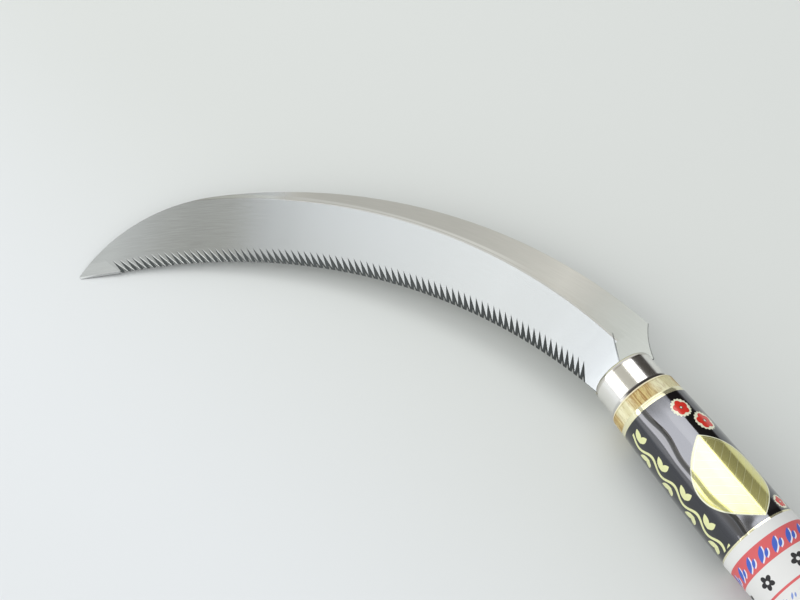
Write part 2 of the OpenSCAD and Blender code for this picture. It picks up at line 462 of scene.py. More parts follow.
    def bump(self, height: Socket, strength: float, distance: float = MM) -> None:
        """Press a height into the surface, on top of any relief pressed before.

        Args:
            height: The height socket.
            strength: How strong the relief is.
            distance: The relief's height in metres.
        """
        node = self.tree.nodes.new("ShaderNodeBump")
        node.inputs["Strength"].default_value = strength
        node.inputs["Distance"].default_value = distance
        self.put(node.inputs["Height"], height)
        before = self.shader.inputs["Normal"].links
        if before:
            self.tree.links.new(before[0].from_socket, node.inputs["Normal"])
        self.tree.links.new(node.outputs["Normal"], self.shader.inputs["Normal"])


def fill_ramp(ramp: bpy.types.ColorRamp, stops: tuple[tuple[float, Colour], ...]) -> None:
    """Give a colour ramp its stops.

    Args:
        ramp: The ramp.
        stops: Places and colours in order.
    """
    while len(ramp.elements) < len(stops):
        ramp.elements.new(1.0)
    for element, (place, colour) in zip(ramp.elements, stops):
        element.position = place
        element.color = (*colour, 1.0)


@dataclass(frozen=True)
class GroundSteel:
    """Stainless sheet: a streaky ground face, a satin spine, a ridge with a painted light strip and cut grooves,
    darker as cut and with painted shade and highlights; painted reflection and shade change along the blade.
    """

    sizes: BladeSizes
    handle_l: float
    # The ground face and the satin spine are two finishes; their cool and warm tints are partly painted reflection
    bright: Colour = (0.76, 0.797, 0.835)
    satin: Colour = (0.672, 0.665, 0.623)
    # Painted highlight colour of the strip by the ridge
    strip: Colour = (0.61, 0.61, 0.585)
    wall: Colour = (0.61, 0.61, 0.595)
    bevel: Colour = (0.55, 0.55, 0.55)
    corner: Colour = (1.09, 1.09, 1.09)
    # Painted light and shade past the ridge towards the tip
    painted_slope_light: Colour = (1.25, 1.25, 1.23)
    painted_flat_shade: Colour = (0.90, 0.89, 0.86)
    side: Colour = (0.45, 0.45, 0.45)
    # Painted shade: warm dark tint for a zone of the ground face that reflects less light
    painted_dark_tint: Colour = (1.0, 0.985, 0.93)
    # Painted reflection: a cool cast for the satin near the heel
    painted_cool_reflection: Colour = (0.93, 0.98, 1.0)
    # Painted shade: dark line along the neck's hollow curve and at the step behind the notch
    painted_edge_shade: Colour = (0.10, 0.107, 0.107)
    # Groove colours: partly the darker as-cut finish, partly painted shade and a painted highlight on the lip
    cut: Colour = (0.082, 0.090, 0.090)
    cut_away: Colour = (0.042, 0.046, 0.046)
    cut_lit: Colour = (0.10, 0.107, 0.107)
    lip: Colour = (0.48, 0.495, 0.495)
    lip_depth: float = 0.19
    ends: Point = (-80.0, -18.0)
    # Painted reflection and shade: greys that set how light the ground face and the satin spine look at each
    # direction along the blade
    painted_ground_shading: tuple[Point, ...] = (
        (-77.0, 0.50), (-75.0, 0.585), (-72.0, 0.73), (-68.0, 0.82), (-64.0, 0.885), (-55.0, 0.91), (-43.0, 0.985),
        (-39.0, 0.95), (-37.0, 0.89), (-34.2, 0.77), (-30.5, 0.735), (-27.0, 0.80), (-24.0, 0.90), (-21.5, 1.0))
    painted_satin_shading: tuple[Point, ...] = (
        (-80.0, 0.63), (-73.0, 0.67), (-69.0, 0.82), (-65.0, 0.765), (-58.0, 0.71), (-47.0, 0.77),
        (-43.0, 0.80), (-40.5, 0.90))

    def build(self) -> bpy.types.Material:
        """Return the material."""
        g = Graph("blade_steel")
        s = self.sizes
        turned = g.rolled(g.vector("SUBTRACT", g.place(), (self.handle_l, 0.0, 0.0)), s.roll)
        normal = g.rolled(g.facet(), s.roll)
        flat = g.vector("MULTIPLY", turned, (1.0, 1.0, 0.0))
        from_edge = g.vector("SUBTRACT", flat, tuple(s.edge_centre))
        outward = g.vector("NORMALIZE", from_edge)
        x, y, _ = g.split(from_edge)
        inward = g.less(g.length(from_edge), s.edge_r)
        turn = g.times(g.math("ARCTAN2", y, x), math.degrees(1.0))
        along = g.times(turn, math.radians(s.edge_r))
        past_ridge = self.past(g, flat, s.ridge_centre, s.ridge_r)
        past_fade = self.past(g, flat, s.fade_centre, s.fade_r)
        up = g.split(normal)[2]
        tilt = g.dot(normal, outward)
        level = g.less(up, g.times(tilt, s.slope))
        underside = g.under(up, 0.0, 0.2)
        behind, neck = self.neck(g, flat)
        free = g.less(1.0, g.most(neck, underside))
        low, high = s.band_turns
        to_tip = g.rise(turn, (low + high) / 2.0, (high - low) / 2.0)
        unground = g.less(1.0, g.band(tilt, -1.5 * s.slope, -0.5 * s.slope, 0.004))
        unground = g.times(g.times(unground, g.rise(past_ridge, -1.6, 0.1)), free)
        spine = g.times(g.most(g.rise(past_ridge, 0.0, 0.06), unground), g.less(1.0, to_tip))
        band = g.most(spine, neck, underside)
        hairs = g.noise(g.join(g.times(inward, 7.0), g.times(along, 0.10)), 1.0, 4.0, 0.6)
        streaks = g.noise(g.join(g.times(inward, 1.7), g.times(along, 0.12)), 1.0, 4.0, 0.6)
        # Painted reflection and shade along the blade, on the ground face and on the satin spine
        ground = g.over(1.0, self.bright, self.painted_shading(g, turn, self.painted_ground_shading), Blend.DARKEN)
        # Painted shade: a darker, warmer zone of the ground face towards the tip, where it reflects less light; its
        # grain shows more there
        painted_dark_zone = g.less(g.rise(turn, -36.0, 3.0), g.times(g.rise(turn, -26.5, 3.0), 0.4))
        ground = g.over(painted_dark_zone, ground, self.painted_dark_tint, Blend.DARKEN)
        satin = g.over(1.0, self.satin, self.painted_shading(g, turn, self.painted_satin_shading), Blend.DARKEN)
        # Painted reflection: a cool blue cast on the satin near the heel
        satin = g.over(g.under(turn, -73.5, 4.0), satin, self.painted_cool_reflection, Blend.DARKEN)
        colour = g.over(band, ground, satin)
        shade = g.ramp(hairs, (0.3, (0.30, 0.30, 0.29)), (0.7, (1.0, 1.0, 1.0)))
        drawn = g.add(g.scale(band, 0.05, 0.12), g.times(painted_dark_zone, 0.10))
        colour = g.over(drawn, colour, shade, Blend.DARKEN)
        cloud = g.ramp(streaks, (0.3, (0.4, 0.4, 0.36)), (0.7, (1.0, 1.0, 1.0)))
        colour = g.over(g.add(g.scale(band, 0.03, 0.10), g.times(painted_dark_zone, 0.15)), colour, cloud, Blend.DARKEN)
        # Painted light and shade past the ridge towards the tip: lighter up to the fade line, darker beyond it
        beyond = g.times(g.rise(past_ridge, 0.0, 0.06), g.times(free, to_tip))
        painted_tip_shading = g.over(g.rise(past_fade, 0.0, 0.3), self.painted_slope_light, self.painted_flat_shade)
        colour = g.over(beyond, colour, painted_tip_shading, Blend.DARKEN)
        # Painted highlight: a light strip between the ridge and the fade line, standing in for a narrow facet that
        # catches the light
        strip = g.times(g.under(past_fade, 0.30, 0.30), g.rise(past_ridge, 0.05, 0.1))
        strip = g.times(g.times(strip, free), g.times(g.rise(turn, -64.0, 4.0), g.less(1.0, to_tip)))
        colour = g.over(strip, colour, self.strip)
        # Painted shade: the sloping wall of the ridge step drawn darker, less so towards the tip
        sloping = g.times(g.under(level, 0.975, 0.006), g.rise(level, 0.90, 0.02))
        wall = g.times(g.times(sloping, g.band(past_ridge, -1.5, 0.1)), free)
        colour = g.over(g.times(wall, g.less(0.9, g.times(to_tip, 0.7))), colour, self.wall)
        # Painted shade on the thin side faces of the sheet
        edge_on = g.under(g.math("ABSOLUTE", up), 0.5, 0.2)
        colour = g.over(edge_on, colour, self.side, Blend.DARKEN)
        # Painted shade: a dark line along the hollow curve of the neck and along the step behind the notch
        painted_edge_shade = g.band(self.past(g, flat, s.neck_centre, s.neck_r), -0.4, 0.28, 0.06)
        from_notch = g.length(g.vector("SUBTRACT", flat, (*s.notch, 0.0)))
        step = g.times(g.band(behind, -0.42, 0.02, 0.08), g.under(from_notch, 6.0, 6.0))
        step = g.times(step, g.under(past_ridge, 0.0, 0.1))
        colour = g.over(g.times(g.most(painted_edge_shade, step), 0.8), colour, self.painted_edge_shade)
        cut, away, corner = self.cut_share(g, inward, along, normal, outward, level)
        # Painted highlight on the uncut land at the tip, and painted shade on the bevel under the tip
        colour = g.over(g.times(corner, g.under(inward, 6.5, 0.6)), colour, self.corner, Blend.DARKEN)
        bevel = g.times(g.times(corner, g.under(inward, 1.3, 0.3)), g.under(level, 0.990, 0.003))
        colour = g.over(bevel, colour, self.bevel, Blend.DARKEN)
        # Groove faces: the darker as-cut finish with painted shade and a painted highlight; faces towards the tip
        # are darkest near the heel, and nearer the tip they get a bright lip where the cut is shallow
        far = g.rise(turn, -36.0, 7.0)
        height = g.add(g.split(turned)[2], s.thickness / 2.0)
        depth = g.less(g.add(g.times(inward, s.slope), s.edge_t), height)
        bare = g.over(far, self.cut_away, g.over(g.under(depth, self.lip_depth, 0.06), self.cut_lit, self.lip))
        colour = g.over(cut, colour, g.over(away, self.cut, bare))
        rough = g.add(g.scale(hairs, 0.17, 0.23), g.times(band, 0.13))
        rough = g.add(rough, g.times(cut, 0.22))
        g.bump(hairs, 0.08, 0.012 * MM)
        tangent = g.rolled(outward, -s.roll)
        return g.finish(Base_Color=colour, Metallic=1.0, Roughness=rough, Anisotropic=0.8, Tangent=tangent)

    def painted_shading(self, g: Graph, turn: Socket, stops: tuple[Point, ...]) -> Socket:
        """Return a painted grey of reflected light and shade that changes with the direction from the centre of the
        edge.

        Args:
            g: The material's graph.
            turn: The direction in degrees.
            stops: Directions and greys in order.

        Returns:
            The colour socket.
        """
        low, high = self.ends
        share = g.times(g.less(turn, low), 1.0 / (high - low))
        return g.ramp(share, *(((at - low) / (high - low), (grey,) * 3) for at, grey in stops))

    def past(self, g: Graph, flat: Socket, centre: Vector, radius: float) -> Socket:
        """Return how far a point of the flat blade lies outside a circle.

        Args:
            g: The material's graph.
            flat: The point.
            centre: The circle's centre.
            radius: The circle's radius.

        Returns:
            The distance socket.
        """
        return g.less(g.length(g.vector("SUBTRACT", flat, tuple(centre))), radius)

    def neck(self, g: Graph, flat: Socket) -> tuple[Socket, Socket]:
        """Return how far a point lies behind the notch line, and the share of the unground neck there."""
        u, v, _ = g.split(g.vector("SUBTRACT", flat, (*self.sizes.notch, 0.0)))
        turn = math.radians(self.sizes.notch_turn)
        behind = g.less(g.times(u, -math.sin(turn)), g.times(v, math.cos(turn)))
        return behind, g.times(g.rise(behind, 0.0, 0.06), g.under(u, 0.1, 0.1))

    def cut_share(self, g: Graph, inward: Socket, along: Socket, normal: Socket,
                  outward: Socket, level: Socket) -> tuple[Socket, Socket, Socket]:
        """Return the share of the cut faces: what leans away from the ground face near the edge.

        Args:
            g: The material's graph.
            inward: Distance from the edge.
            along: Distance along the edge.
            normal: Normal of the surface, as the blade lies flat.
            outward: Direction away from the centre of the edge.
            level: How level the surface is with the ground face, up to 1.

        Returns:
            The share of all cut faces, of those of them that face the tip, and of the uncut corner at the tip.
        """
        s = self.sizes
        x, y, _ = g.split(outward)
        leaning = g.times(g.under(level, 0.990, 0.003), g.rise(g.split(normal)[2], 0.1, 0.1))
        slanted = g.less(along, g.times(inward, math.tan(math.radians(s.groove_lean))))
        toothed = g.under(slanted, math.radians(s.corner_turn) * s.edge_r, 0.1)
        near = g.times(g.under(inward, s.groove_h + 0.4, 0.1), toothed)
        towards_tip = g.dot(normal, g.join(g.times(y, -1.0), x))
        return g.times(leaning, near), g.rise(towards_tip, 0.05, 0.05), g.less(1.0, toothed)


@dataclass(frozen=True)
class DrawnMetal:
    """Bright drawn metal with faint turning marks, a brassy front edge with painted shade just behind it, and
    painted shade on the drawn-in tail.
    """

    sizes: HandleSizes
    colour: Colour = (0.90, 0.89, 0.87)
    brass: Colour = (0.84, 0.80, 0.46)
    # Painted shade colour for the band behind the brass front edge
    front_shade: Colour = (0.30, 0.26, 0.20)
    # Painted shade colour for the drawn-in tail
    tail_shade: Colour = (0.035, 0.028, 0.025)
    rim: float = 0.9
    shade: float = 1.2
    tail: float = 1.2

    def build(self) -> bpy.types.Material:
        """Return the material."""
        g = Graph("ferrule_metal")
        place = g.place()
        x, y, z = g.split(place)
        turn = g.math("ARCTAN2", z, y)
        rings = g.noise(g.join(g.times(x, 6.0), g.times(turn, 0.6)), 1.0)
        dirt = g.noise(place, 0.35, 5.0, 0.6)
        to_front = g.less(self.sizes.mouth, x)
        from_rear = g.less(x, self.sizes.length)
        colour = g.over(g.times(dirt, 0.25), self.colour, (0.70, 0.66, 0.56), Blend.DARKEN)
        # Painted shade: a darker band just behind the brass front edge
        front_shade_band = g.band(to_front, self.rim, self.rim + self.shade, 0.35)
        colour = g.over(g.times(front_shade_band, 0.45), colour, self.front_shade)
        corner = g.rise(g.length(g.join(y, z)), self.sizes.ferrule_r - self.rim, 0.1)
        colour = g.over(g.times(g.times(g.under(to_front, self.rim, 0.1), corner), 0.85), colour, self.brass)
        # Painted shade on the drawn-in tail, darkest over the top of the ferrule
        above = g.rise(g.times(turn, math.degrees(1.0)), 46.0, 10.0)
        colour = g.over(g.times(g.under(from_rear, self.tail, 0.35), g.scale(above, 0.25, 0.97)), colour, self.tail_shade)
        rough = g.add(g.times(rings, 0.06), g.scale(dirt, 0.11, 0.18))
        g.bump(rings, 0.05, 0.02 * MM)
        return g.finish(Base_Color=colour, Metallic=1.0, Roughness=rough)


@dataclass(frozen=True)
class WirePin:
    """Plain drawn wire."""

    colour: Colour = (0.55, 0.55, 0.56)

    def build(self) -> bpy.types.Material:
        """Return the material."""
        g = Graph("pin_steel")
        marks = g.noise(g.vector("MULTIPLY", g.place(), (6.0, 6.0, 0.6)), 1.0)
        colour = g.over(g.times(marks, 0.4), self.colour, (0.5, 0.5, 0.5), Blend.DARKEN)
        return g.finish(Base_Color=colour, Metallic=1.0, Roughness=g.scale(marks, 0.25, 0.45))


@dataclass(frozen=True)
class TurnedWood:
    """Pale hardwood, turned and lightly varnished, with groups of brown streaks along the grain."""

    sizes: HandleSizes
    pale: Colour = (0.72, 0.69, 0.47)
    olive: Colour = (0.49, 0.44, 0.22)
    brown: Colour = (0.27, 0.14, 0.03)
    # Painted highlight colour for the front edge
    cream: Colour = (0.86, 0.80, 0.60)
    groups: tuple[Point, Point] = ((50.0, 90.0), (-14.0, 12.0))
    core_r: float = 10.0

    def build(self) -> bpy.types.Material:
        """Return the material."""
        g = Graph("handle_wood")
        place = g.place()
        x, y, z = g.split(place)
        wander = g.noise(g.vector("MULTIPLY", place, (0.03, 0.22, 0.22)), 1.0, 2.0)
        heart = g.length(g.join(g.less(y, 6.0), g.add(z, 31.0)))
        growth = g.math("SINE", g.add(g.times(heart, 2.6), g.times(wander, 16.0)))
        streaks = g.noise(g.vector("MULTIPLY", place, (0.06, 3.2, 3.2)), 1.0, 4.0, 0.75)
        fleck = g.noise(g.vector("MULTIPLY", place, (0.35, 4.5, 4.5)), 1.0, 3.0, 0.6)
        patches = g.noise(g.vector("MULTIPLY", place, (0.03, 0.13, 0.13)), 1.0, 2.0)
        degrees = g.times(g.math("ARCTAN2", z, y), math.degrees(1.0))
        top, side = (g.band(degrees, *ends, 7.0) for ends in self.groups)
        outside = g.rise(g.length(g.join(y, z)), self.core_r, 1.0)
        grouped = g.most(g.rise(patches, 0.56, 0.06), g.times(g.most(top, side), outside))
        colour = g.over(g.scale(growth, 0.20, 0.55), self.pale, self.olive)
        colour = g.over(g.times(grouped, 0.72), colour, (0.53, 0.39, 0.12))
        strong = g.times(g.rise(streaks, 0.505, 0.025), grouped)
        colour = g.over(g.times(strong, 0.90), colour, self.brown)
        colour = g.over(g.times(g.rise(fleck, 0.60, 0.04), 0.55), colour, self.brown)
        # Painted highlight: a pale line along the front edge of the wood, with a darker line just behind it
        from_front = g.less(self.sizes.length, x)
        colour = g.over(g.times(g.band(from_front, 0.85, 1.15, 0.12), 0.5), colour, self.olive, Blend.DARKEN)
        colour = g.over(g.times(g.band(from_front, 0.15, 0.75, 0.15), 0.7), colour, self.cream)
        rough = g.scale(streaks, 0.42, 0.60)
        g.bump(g.less(fleck, g.times(strong, 0.6)), 0.20, 0.06 * MM)
        return g.finish(Base_Color=colour, Roughness=rough, Coat_Weight=0.12, Coat_Roughness=0.3,
                        Specular_IOR_Level=0.35)


@dataclass(frozen=True)
class Fold:
    """The soft winding fold in the film: where it runs and how it falls off on both sides."""

    middle: float = 58.5
    swings: tuple[tuple[float, float, float], ...] = ((3.2, 115.0, 40.0), (1.3, 112.0, 17.0))
    reach: float = 27.0
    fall: float = 8.0
    crest: float = 10.0
    lean: float = 10.0
    foot: float = 50.0

    def turn(self, x: float) -> float:
        """Return the direction of the fold at a place along the handle."""
        return self.middle + sum(
            size * math.cos(2.0 * math.pi * (x - at) / period) for size, at, period in self.swings)

    def away(self, g: Graph, x: Socket, degrees: Socket) -> Socket:
        """Return how far a direction lies past the fold, in a material."""
        total: Value = self.middle
        for size, at, period in self.swings:
            angle = g.times(g.less(x, at), 2.0 * math.pi / period)
            total = g.add(total, g.times(g.math("COSINE", angle), size))
        return g.less(degrees, total)

    def height(self, g: Graph, degrees: Socket, away: Socket, radius: float) -> Socket:
        """Return the height of the film in millimetres, with a long even slope past the fold and a crest before it.

        Args:
            g: The material's graph.
            degrees: Direction round the handle.
            away: How far that lies past the fold.
            radius: Radius of the film.

        Returns:
            The height socket.
        """
        unit = math.radians(1.0) ** 2 * radius
        left = g.most(g.less(self.middle + self.reach, degrees), 0.0)
        past = g.times(g.times(g.times(left, left), unit / 2.0), g.rise(away, -self.fall / 2.0, self.fall / 2.0))
        before = g.most(g.less(-self.fall, away), 0.0)
        rounding = g.math("MINIMUM", before, self.crest)
        outer = g.math("MINIMUM", g.most(g.less(before, self.crest), 0.0), self.foot)
        near = g.times(g.times(rounding, rounding), 0.5 / self.crest)
        far = g.less(outer, g.times(g.times(outer, outer), 0.5 / self.foot))
        return g.less(past, g.times(g.add(near, far), unit * self.lean))


@dataclass(frozen=True)
class PrintedFilm:
    """Glossy black film with foil borders, a foil leaf, a pale vine and small red rosettes, with painted shade in
    its fold and on its lower side.
    """

    sizes: HandleSizes
    fold: Fold = field(default_factory=Fold)
    black: Colour = (0.135, 0.137, 0.150)
    # Painted shade: darker black for the film's lower side
    painted_low_shade: Colour = (0.064, 0.066, 0.075)
    # Painted shade colour for the fold
    crease: Colour = (0.045, 0.041, 0.036)
    gold: Colour = (0.87, 0.83, 0.56)
    leaf_gold: Colour = (0.82, 0.78, 0.31)
    straw: Colour = (0.68, 0.70, 0.36)
    cream: Colour = (0.74, 0.75, 0.58)
    red: Colour = (0.60, 0.030, 0.018)
    front_border: float = 1.9
    rear_border: float = 3.8

    def build(self) -> bpy.types.Material:
        """Return the material."""
        g = Graph("sleeve_film")
        place = g.place()
        x, y, z = g.split(place)
        back = g.less(self.sizes.sleeve_front, x)
        turn = g.math("ARCTAN2", z, y)
        degrees = g.times(turn, math.degrees(1.0))
        arc = g.times(turn, self.sizes.belly_r)
        away = self.fold.away(g, x, degrees)
        borders = g.less(1.0, g.band(back, self.front_border, self.sizes.sleeve_l - self.rear_border, 0.06))
        leaf, leaf_line = self.leaf(g, back, arc)
        vine = self.vine(g, back, arc)
        red, cream = self.rosettes(g, back, arc)
        foil = g.most(borders, leaf)
        ink = g.most(leaf_line, vine, red, cream)
        cloud = g.noise(place, 0.16, 3.0)
        # Painted shade: the film is darker below about 42 degrees round the handle
        colour = g.over(g.rise(degrees, 42.0, 6.0), self.painted_low_shade, self.black)
        # Painted shade in the fold
        colour = g.over(g.times(g.band(away, -6.2, -0.4, 1.2), 0.75), colour, self.crease)
        colour = g.over(borders, colour, self.gold)
        colour = g.over(leaf, colour, self.leaf_gold)
        colour = g.over(g.most(leaf_line, cream), colour, self.cream)
        colour = g.over(vine, colour, self.straw)
        colour = g.over(red, colour, self.red)
        waves = g.noise(g.join(g.times(back, 0.030), g.times(arc, 0.20)), 1.0, 1.0, 0.4)
        g.bump(self.fold.height(g, degrees, away, self.sizes.belly_r), 1.0)
        g.bump(waves, 0.14, 1.4 * MM)
        g.bump(g.most(foil, ink), 0.25, 0.03 * MM)
        rough = g.add(g.scale(cloud, 0.06, 0.11), g.most(g.times(ink, 0.16), g.times(leaf, 0.07)))
        return g.finish(Base_Color=colour, Metallic=g.less(1.0, g.most(ink, g.times(foil, 0.25))), Roughness=rough,
                        Coat_Weight=0.5, Coat_Roughness=0.05)

    def leaf(self, g: Graph, back: Socket, arc: Socket) -> tuple[Socket, Socket]:
        """Return the shares of a broad foil leaf and of its pale outline and veins.

        Args:
            g: The material's graph.
            back: Distance from the front of the film.
            arc: Distance round the handle.

        Returns:
            The leaf's share and its lines' share.
        """
        middle, half_l, half_w = (36.3, 22.2), 16.6, 12.4
        dx = g.less(back, middle[0])
        side = g.math("ABSOLUTE", g.less(arc, middle[1]))
        reach = g.math("POWER", g.math("ABSOLUTE", g.times(dx, 1.0 / half_l)), 2.0)
        outside = g.less(side, g.less(half_w, g.times(reach, half_w)))
        leaf = g.under(outside, 0.0)
        vein = g.math("ABSOLUTE", g.repeat(g.add(dx, g.times(side, 0.8)), 3.6))
        drawn = g.most(g.under(vein, 0.09, 0.05), g.under(side, 0.20, 0.05))
        drawn = g.times(g.times(drawn, g.under(outside, -1.8, 0.2)), 0.5)
        rim = g.times(g.band(outside, -1.15, -0.85, 0.05), 0.45)
        return leaf, g.most(g.band(outside, 0.0, 0.55), drawn, rim)

    def vine(self, g: Graph, back: Socket, arc: Socket) -> Socket:
        """Return the share of a winding stem with pointed leaves along the left of the film."""
        period, stem_at, sway, half = 12.0, 3.0, 1.3, 0.60
        phase = g.times(back, 2.0 * math.pi / period)
        stem = g.math("ABSOLUTE", g.less(arc, g.math("MULTIPLY_ADD", g.math("SINE", phase), sway, stem_at)))
        shapes: list[Value] = [g.under(stem, half)]
        for shift, side in ((-2.0, 1.0), (4.0, -1.0)):
            local = g.repeat(back, period, shift)
            for lean, reach, foot in ((-3.4, 3.9, 0.8), (1.6, 4.6, 0.2)):
                start = (foot, stem_at + side * 0.9)
                tip = (lean, stem_at + side * reach)
                shapes.append(g.lens(local, arc, start, tip, 1.15))
        return g.times(g.most(*shapes), g.band(back, 4.6, 53.4))

    def rosettes(self, g: Graph, back: Socket, arc: Socket) -> tuple[Socket, Socket]:
        """Return the shares of the red rosettes and of their pale saw-edged rims."""
        red: list[Value] = []
        cream: list[Value] = []
        for cx, cy, size in ((8.4, 24.6, 3.0), (15.8, 29.2, 3.3), (51.0, 31.6, 2.2)):
            dx = g.less(back, cx)
            dy = g.less(arc, cy)
            reach = g.length(g.join(dx, dy))
            turn = g.math("ARCTAN2", dy, dx)
            petals = g.math("ABSOLUTE", g.math("SINE", g.times(turn, 2.5)))
            saw = g.math("ABSOLUTE", g.repeat(turn, math.pi / 9.0))
            inner = g.less(reach, g.times(petals, 0.24 * size))
            outer = g.less(reach, g.times(saw, 2.6))
            heart = g.under(reach, 0.20 * size)
            red.append(g.less(g.under(inner, 0.74 * size), heart))
            cream.append(g.less(g.under(outer, 1.12 * size), g.under(inner, 0.74 * size)))
            cream.append(g.under(reach, 0.13 * size))
        return g.most(*red), g.most(*cream)


@dataclass(frozen=True)
class LabelPaper:
    """Coated white paper with a red band of blue leaves, a red line, black blossoms and small marks."""

    sizes: HandleSizes
    white: Colour = (0.635, 0.64, 0.635)
    red: Colour = (0.57, 0.070, 0.078)
    blue: Colour = (0.05, 0.11, 0.47)
    pale: Colour = (0.70, 0.68, 0.74)
    ink: Colour = (0.018, 0.018, 0.02)
    sky: Colour = (0.18, 0.26, 0.56)
    band_at: Point = (3.6, 10.4)
    line_at: float = 18.8
    foot_at: float = 46.0

    def build(self) -> bpy.types.Material:
        """Return the material."""
        g = Graph("label_paper")
        place = g.place()
        x, y, z = g.split(place)
        back = g.less(self.sizes.label_front, x)
        arc = g.times(g.math("ARCTAN2", z, y), self.sizes.belly_r)
        fibre = g.noise(place, 2.2, 6.0, 0.7)
        cloud = g.noise(place, 0.25, 3.0)
        colour = g.over(g.times(fibre, 0.22), self.white, (0.70, 0.70, 0.69))
        print_red = g.most(g.band(back, *self.band_at), g.band(back, self.line_at, self.line_at + 0.8),
                           g.band(back, self.foot_at, self.foot_at + 0.8))
        colour = g.over(g.times(print_red, 0.94), colour, self.red)
        shadow = self.leaves(g, g.less(back, 0.35), g.less(arc, 0.35))
        colour = g.over(shadow, colour, self.pale)
        colour = g.over(self.leaves(g, back, arc), colour, self.blue)
        colour = g.over(self.blossoms(g, back, arc), colour, self.ink)
        colour = g.over(self.marks(g, back, arc), colour, self.sky)
        g.bump(fibre, 0.15, 0.05 * MM)
        g.bump(cloud, 0.20, 0.25 * MM)
        return g.finish(Base_Color=colour, Roughness=g.scale(fibre, 0.38, 0.54), Specular_IOR_Level=0.3)

    def leaves(self, g: Graph, back: Socket, arc: Socket) -> Value:
        """Return the share of pairs of slanting leaves in the red band."""
        middle = sum(self.band_at) / 2.0
        local = g.repeat(arc, 5.4)
        big = g.lens(local, back, (-2.0, middle + 2.4), (0.9, middle - 2.3), 0.85)
        small = g.lens(local, back, (0.2, middle + 1.9), (2.1, middle - 0.7), 0.60)
        return g.most(big, small)

    def blossoms(self, g: Graph, back: Socket, arc: Socket) -> Value:
        """Return the share of a row of five-petalled blossoms with open hearts behind the red band."""
        local = g.repeat(arc, 12.5, -2.4)
        height = g.less(back, (self.band_at[1] + self.line_at) / 2.0)
        reach = g.length(g.join(local, height))
        petals = g.math("ABSOLUTE", g.math("SINE", g.times(g.math("ARCTAN2", height, local), 2.5)))
        flower = g.under(g.less(reach, g.times(petals, 1.2)), 1.35)
        return g.less(flower, g.times(g.under(reach, 0.62), flower))

    def marks(self, g: Graph, back: Socket, arc: Socket) -> Value:
        """Return the share of a row of small marks behind the red line."""
        local = g.repeat(arc, 3.6)
        at = self.line_at + 3.6
        first = g.lens(local, back, (-1.1, at + 0.9), (0.3, at - 1.0), 0.34)
        second = g.lens(local, back, (0.3, at + 1.0), (1.1, at - 0.5), 0.30)
        return g.most(first, second)


@dataclass(frozen=True)
class FloorPaint:
    """Matt pale floor with a very faint mottle and painted light that makes it a little lighter on the far side of
    the edge.
    """

    colour: Colour = (0.614, 0.636, 0.623)
    # Painted light: the lighter floor colour
    light: Colour = (0.698, 0.724, 0.747)
    lean: float = -0.25
    middle: float = 45.0
    soft: float = 85.0

    def build(self) -> bpy.types.Material:
        """Return the material."""
        g = Graph("floor")
        place = g.place()
        x, y, _ = g.split(place)
        mottle = g.noise(place, 0.01, 2.0)
        # Painted light: the floor grows lighter towards the far side of the edge
        painted_light_share = g.rise(g.add(y, g.times(x, self.lean)), self.middle, self.soft)
        colour = g.over(painted_light_share, self.colour, self.light)
        shade = g.over(g.times(mottle, 0.06), colour, (0.7, 0.72, 0.72))
        return g.finish(Base_Color=shade, Roughness=0.6)


@dataclass
class Blade:
    """The blade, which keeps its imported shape."""

    sizes: BladeSizes = field(default_factory=BladeSizes)
    handle_l: float = 132.0

    def dress(self) -> bpy.types.Object:
        """Give the blade its steel and return it."""
        return give(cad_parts["blade"], GroundSteel(self.sizes, self.handle_l).build())


@dataclass
class Grip:
    """The ferrule, the turned wood and the pin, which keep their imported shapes."""

    sizes: HandleSizes = field(default_factory=HandleSizes)

    def dress(self) -> list[bpy.types.Object]:
        """Give each piece its finish and return the pieces."""
        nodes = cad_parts
        return [
            give(nodes["ferrule"], DrawnMetal(self.sizes).build()),
            give(nodes["handle"], TurnedWood(self.sizes).build()),
            give(nodes["tang_pin"], WirePin().build()),
        ]


